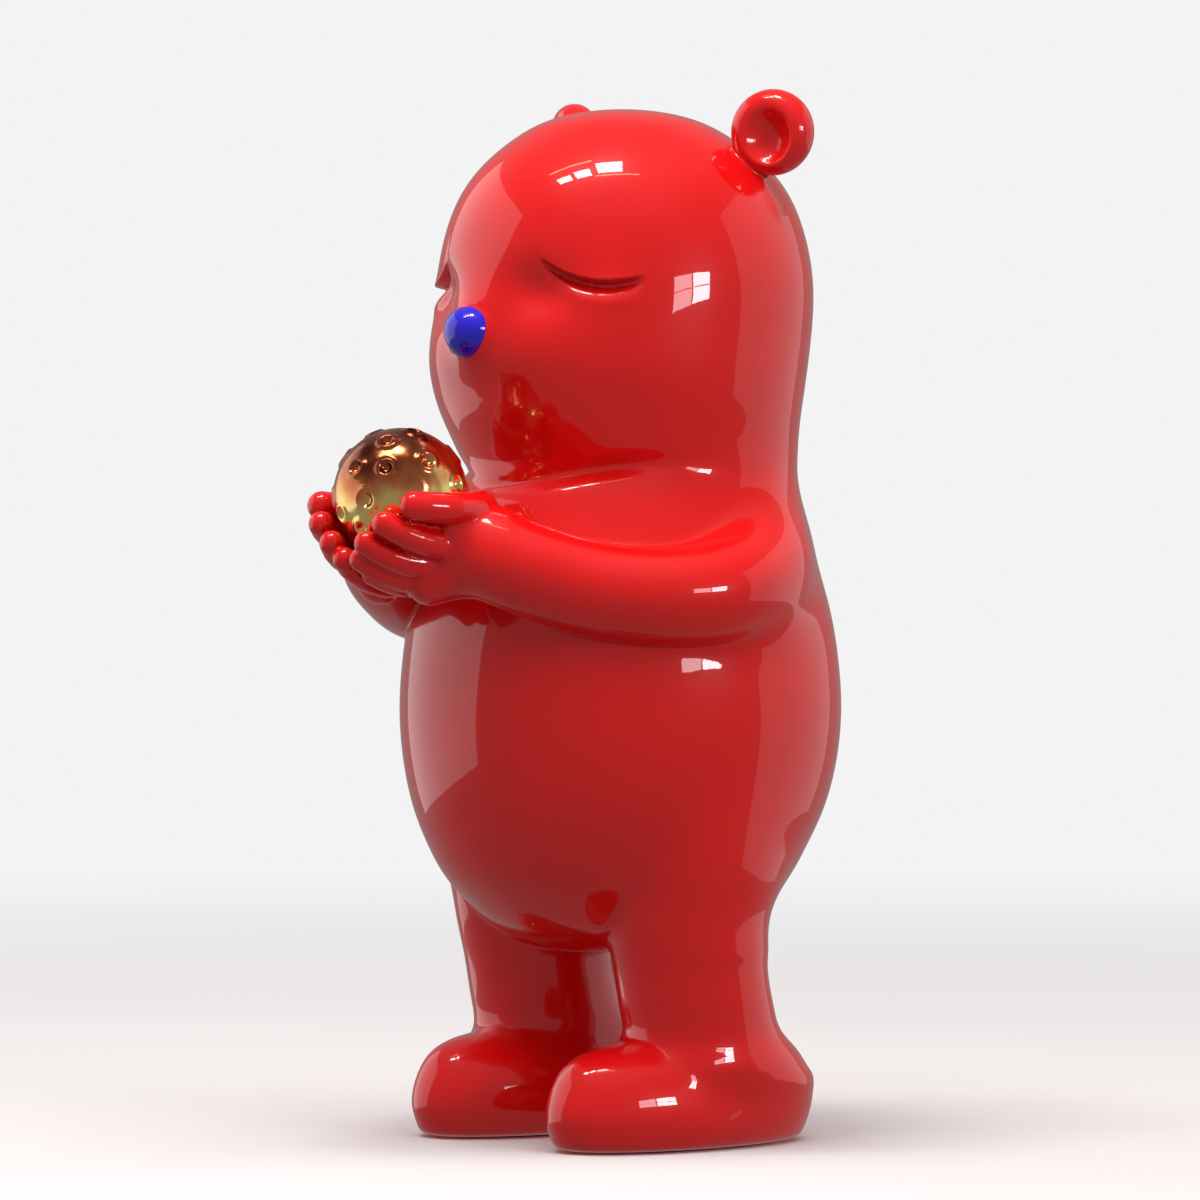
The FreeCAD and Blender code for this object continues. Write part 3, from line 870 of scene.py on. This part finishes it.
def nose_bead(nose_width):
    """A rounded bead, wider at its top and flatter at its back."""
    bm = bmesh.new()
    bmesh.ops.create_icosphere(bm, subdivisions=6, radius=1)
    bead = new_piece("nose_bead", bm)
    p = (points_of(bead.data) + AXIS) * MM
    x, y, z = p.T
    wide = nose_width / 2 / MM * (1 + 0.07 * z)
    deep = np.where(y < 0, 9.8, 8.6) * (1 + 0.06 * z)
    tall = 10.2
    at = np.array([0, -73.5, NOSE_Z])
    set_points(bead.data, at + np.stack([x * wide, y * deep, z * tall], 1))
    return bead


# ---------------------------------------------------------------- stage and light

# The camera's turn round the figure, in degrees, and how far the floor reaches, in metres.
CAMERA_TURN = 50
STAGE_REACH = 9
BACKDROP_COLOUR = "#F3F3F4"

def around(turn, rise, reach, height=0.2):
    """A point at a turn round the figure from its front, a rise and a reach, in metres."""
    turn, rise = math.radians(turn), math.radians(rise)
    level = reach * math.cos(rise)
    return Vector((level * math.sin(turn), AXIS[1] * MM - level * math.cos(turn),
                   height + reach * math.sin(rise)))


def panel(name, wide, tall, at, aim, bright, colour=(1, 1, 1), along=None):
    """A flat light panel of one brightness, aimed at a point, with its width along a direction."""
    light = bpy.data.lights.new(name, "AREA")
    light.shape = "RECTANGLE"
    light.size = wide
    light.size_y = tall
    light.energy = bright * math.pi * wide * tall
    light.color = colour
    lamp = bpy.data.objects.new(name, light)
    back = (Vector(at) - Vector(aim)).normalized()
    right = Vector(along) if along else Vector((0, 0, 1)).cross(back)
    right = (right - back * right.dot(back)).normalized()
    turned = Matrix((right, back.cross(right), back)).transposed().to_4x4()
    lamp.matrix_world = Matrix.Translation(at) @ turned
    bpy.context.scene.collection.objects.link(lamp)
    return lamp


def side_window(turn, rise, reach, wide, tall):
    """A window to one side, in two lights of two panes, the nearer one in shade."""
    centre = around(turn, rise, reach)
    face = (around(0, 0, 0) - centre).normalized()
    across = face.cross(Vector((0, 0, 1))).normalized()
    up = across.cross(face)
    for column, bright in ((-0.27, 7), (0.27, 20)):
        for row in (-0.27, 0.27):
            at = centre + across * column * wide + up * row * tall
            panel("Window pane", wide / 2, tall / 2, at, at + face, bright, (1, 0.9, 0.95))


# Skylight panes for a unit of height: across, towards the camera, width and depth.
SKYLIGHTS = [(-0.1, 0.185, 0.21, 0.2), (-0.34, 0.235, 0.15, 0.15), (-0.54, 0.25, 0.16, 0.12)]


def roof_lights(height):
    """Skylight panes in a row overhead, between two warm strip lights."""
    turn = math.radians(CAMERA_TURN)
    right = Vector((math.cos(turn), math.sin(turn), 0))
    towards = Vector((math.sin(turn), -math.cos(turn), 0))
    top = Vector((0, AXIS[1] * MM, HEAD_TOP * MM + height))
    for x, y, wide, deep in SKYLIGHTS:
        at = top + (right * x + towards * y) * height
        panel("Skylight", wide * height, deep * height, at, at - Vector((0, 0, 1)), 22, along=right)
    for x, y in ((-0.43, 0.02), (-0.04, 0.335)):
        at = top + (right * x + towards * y) * height
        panel("Strip light", 0.4 * height, 0.022 * height, at, at - Vector((0, 0, 1)), 12,
              (1, 0.62, 0.35), along=right)


def pale_paint():
    """White studio paint that brightens with distance into the lit backdrop, so no horizon shows."""
    material, tree, shader = finish("Studio paint")
    place = node(tree, "ShaderNodeTexCoord").outputs["Object"]
    drift = node(tree, "ShaderNodeTexNoise", {"Scale": 3.0}, Vector=place)
    tone = node(tree, "ShaderNodeValToRGB", Fac=drift.outputs["Fac"])
    tone.color_ramp.elements[0].color = linear("#DADADA")
    tone.color_ramp.elements[1].color = linear("#E2E2E2")
    tree.links.new(tone.outputs["Color"], shader.inputs["Base Color"])
    shader.inputs["Roughness"].default_value = 0.9
    reach = node(tree, "ShaderNodeVectorMath", {"operation": "LENGTH"}, Vector=place)
    away = reach.outputs["Value"]
    spread = {"interpolation_type": "SMOOTHSTEP", "From Min": 0.25, "From Max": 1.9}
    fade = node(tree, "ShaderNodeMapRange", spread, Value=away).outputs["Result"]
    glow = node(tree, "ShaderNodeEmission", {"Color": linear(BACKDROP_COLOUR)})
    both = node(tree, "ShaderNodeMixShader", Fac=fade)
    tree.links.new(shader.outputs["BSDF"], both.inputs[1])
    tree.links.new(glow.outputs["Emission"], both.inputs[2])
    tree.links.new(both.outputs["Shader"], tree.nodes["Material Output"].inputs["Surface"])
    return material


def lit_cloth():
    """Plain backdrop cloth, evenly lit from behind."""
    material, _, shader = finish("Lit backdrop cloth")
    shader.inputs["Base Color"].default_value = linear("#000000")
    shader.inputs["Specular IOR Level"].default_value = 0
    shader.inputs["Emission Color"].default_value = linear(BACKDROP_COLOUR)
    shader.inputs["Emission Strength"].default_value = 1
    return material


def make_floor():
    """A wide pale floor with a lit backdrop all round it."""
    bm = bmesh.new()
    bmesh.ops.create_grid(bm, x_segments=2, y_segments=2, size=STAGE_REACH)
    floor = new_piece("studio_floor", bm)
    dress(floor, pale_paint())
    bm = bmesh.new()
    bmesh.ops.create_cone(bm, segments=96, radius1=STAGE_REACH, radius2=STAGE_REACH, depth=9,
                          cap_ends=False, matrix=Matrix.Translation((0, 0, 4)))
    bmesh.ops.reverse_faces(bm, faces=bm.faces)
    backdrop = new_piece("lit_backdrop", bm)
    dress(backdrop, lit_cloth())
    for piece in (floor, backdrop):
        piece.visible_glossy = False
        piece.visible_diffuse = False
    backdrop.visible_shadow = False


def make_world():
    """Dim warm light from all round, which keeps the gloss dark where no light stands."""
    world = bpy.data.worlds.new("Studio")
    bpy.context.scene.world = world
    world.use_nodes = True
    shade = world.node_tree.nodes["Background"]
    shade.inputs["Color"].default_value = (1, 0.84, 0.82, 1)
    shade.inputs["Strength"].default_value = 0.3


def make_lights():
    """Soft light from above, pale walls to both sides, and the windows that show in the gloss."""
    centre = around(0, 0, 0)
    top = panel("Overhead light", 2.6, 2.6, around(CAMERA_TURN, 72, 2.4), centre, 2.6)
    top.visible_glossy = False
    panel("Left wall", 3.2, 2.6, around(CAMERA_TURN - 112, 12, 2.4), centre, 0.8)
    panel("Right wall", 3.0, 2.6, around(CAMERA_TURN + 108, 12, 2.4), centre, 0.42)
    side_window(CAMERA_TURN + 43, 13, 2.6, 0.95, 0.36)
    roof_lights(1.6)


def make_camera():
    """A long lens, low and in front of the figure's left side."""
    camera = bpy.data.cameras.new("Camera")
    camera.lens = 195.5
    camera.sensor_width = 36
    camera.shift_x = -0.017
    camera.clip_start = 0.05
    eye = bpy.data.objects.new("Camera", camera)
    eye.location = around(CAMERA_TURN, 0.0, 2.5, 0.24)
    aim = Vector((0, AXIS[1] * MM, 0.206))
    eye.rotation_euler = (aim - eye.location).to_track_quat("-Z", "Y").to_euler()
    bpy.context.scene.collection.objects.link(eye)
    bpy.context.scene.camera = eye


# ---------------------------------------------------------------- operators


class BEAR_PG_finish(bpy.types.PropertyGroup):
    """The sizes and colours of the figure that a user would change"""

    coat_colour: bpy.props.FloatVectorProperty(
        name="Lacquer", description="Colour of the lacquer on the body", subtype="COLOR",
        size=4, min=0, max=1, default=linear("#E40C0E"))
    nose_colour: bpy.props.FloatVectorProperty(
        name="Nose", description="Colour of the lacquer on the nose", subtype="COLOR",
        size=4, min=0, max=1, default=linear("#2418D2"))
    # The plating's own gold. The copper and brown towards the ball's top are a painted reflection, not
    # thinner plating.
    gold_colour: bpy.props.FloatVectorProperty(
        name="Gold", description="Colour of the plating below its painted reflection", subtype="COLOR",
        size=4, min=0, max=1, default=linear("#F6E28C"))
    peel_height: bpy.props.FloatProperty(
        name="Orange peel", description="Height of the ripple left in the sprayed lacquer",
        subtype="DISTANCE", unit="LENGTH", min=0, max=2 * MM, default=0.4 * MM)
    nose_width: bpy.props.FloatProperty(
        name="Nose width", description="Width of the nose", subtype="DISTANCE", unit="LENGTH",
        min=16 * MM, max=26 * MM, default=21.6 * MM)
    rim_height: bpy.props.FloatProperty(
        name="Crater rims", description="Height of the rims round the ball's craters",
        subtype="DISTANCE", unit="LENGTH", min=0, max=1.2 * MM, default=0.75 * MM)


class BEAR_OT_skin(bpy.types.Operator):
    """Make the lacquered torso, head, ears, arms and legs"""

    bl_idname = "bear.skin"
    bl_label = "Lacquered shells"

    def execute(self, context):
        bear = context.scene.bear
        look = gloss_lacquer("Red lacquer on vinyl", bear.coat_colour, bear.peel_height)
        nodes = {"torso": "torso_shell", "head": "head_shell"}
        for name, shell in split_skin(whole_skin()).items():
            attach(shell, FIGURE)
            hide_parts(nodes.get(name, name))
            dress(shell, look)
        return {"FINISHED"}


class BEAR_OT_nose(bpy.types.Operator):
    """Make the blue nose"""

    bl_idname = "bear.nose"
    bl_label = "Nose"

    def execute(self, context):
        bear = context.scene.bear
        bead = nose_bead(bear.nose_width)
        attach(bead, FIGURE)
        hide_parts("nose")
        dress(bead, gloss_lacquer("Blue lacquer on vinyl", bear.nose_colour, bear.peel_height))
        return {"FINISHED"}


class BEAR_OT_ball(bpy.types.Operator):
    """Make the cratered gold ball"""

    bl_idname = "bear.ball"
    bl_label = "Gold ball"

    def execute(self, context):
        bear = context.scene.bear
        ball = crater_ball(bear.rim_height)
        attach(ball, BALL)
        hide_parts("ball_upper", "ball_lower")
        dress(ball, gold_plate_with_painted_reflection(bear.gold_colour))
        return {"FINISHED"}


class BEAR_OT_soles(bpy.types.Operator):
    """Finish the two sole pads"""

    bl_idname = "bear.soles"
    bl_label = "Sole pads"

    def execute(self, context):
        look = sole_foam()
        for name in ("left_sole_pad", "right_sole_pad"):
            dress(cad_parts[name], look)
        return {"FINISHED"}


class BEAR_OT_stage(bpy.types.Operator):
    """Set the floor, the lights and the camera"""

    bl_idname = "bear.stage"
    bl_label = "Studio"

    def execute(self, context):
        # The plain view transform keeps the bright lacquer from washing out.
        context.scene.view_settings.view_transform = "Standard"
        make_floor()
        make_world()
        make_lights()
        make_camera()
        return {"FINISHED"}


class BEAR_PT_panel(bpy.types.Panel):
    """Sidebar panel with the bear's settings and one button for each group of pieces"""

    bl_label = "Lacquered bear"
    bl_idname = "BEAR_PT_panel"
    bl_space_type = "VIEW_3D"
    bl_region_type = "UI"
    bl_category = "Bear"

    def draw(self, context):
        layout = self.layout
        for name in BEAR_PG_finish.__annotations__:
            layout.prop(context.scene.bear, name)
        for operator in OPERATORS:
            layout.operator(operator.bl_idname)


OPERATORS = (BEAR_OT_skin, BEAR_OT_nose, BEAR_OT_ball, BEAR_OT_soles, BEAR_OT_stage)
CLASSES = (BEAR_PG_finish, *OPERATORS, BEAR_PT_panel)


def register():
    """Register the classes and hang the settings on the scene."""
    for item in CLASSES:
        bpy.utils.register_class(item)
    bpy.types.Scene.bear = bpy.props.PointerProperty(type=BEAR_PG_finish)


def unregister():
    """Undo register."""
    del bpy.types.Scene.bear
    for item in reversed(CLASSES):
        bpy.utils.unregister_class(item)


def main():
    """Build the pieces and the stage."""
    register()
    bpy.ops.bear.skin()
    bpy.ops.bear.nose()
    bpy.ops.bear.ball()
    bpy.ops.bear.soles()
    bpy.ops.bear.stage()


if __name__ == "__main__":
    main()
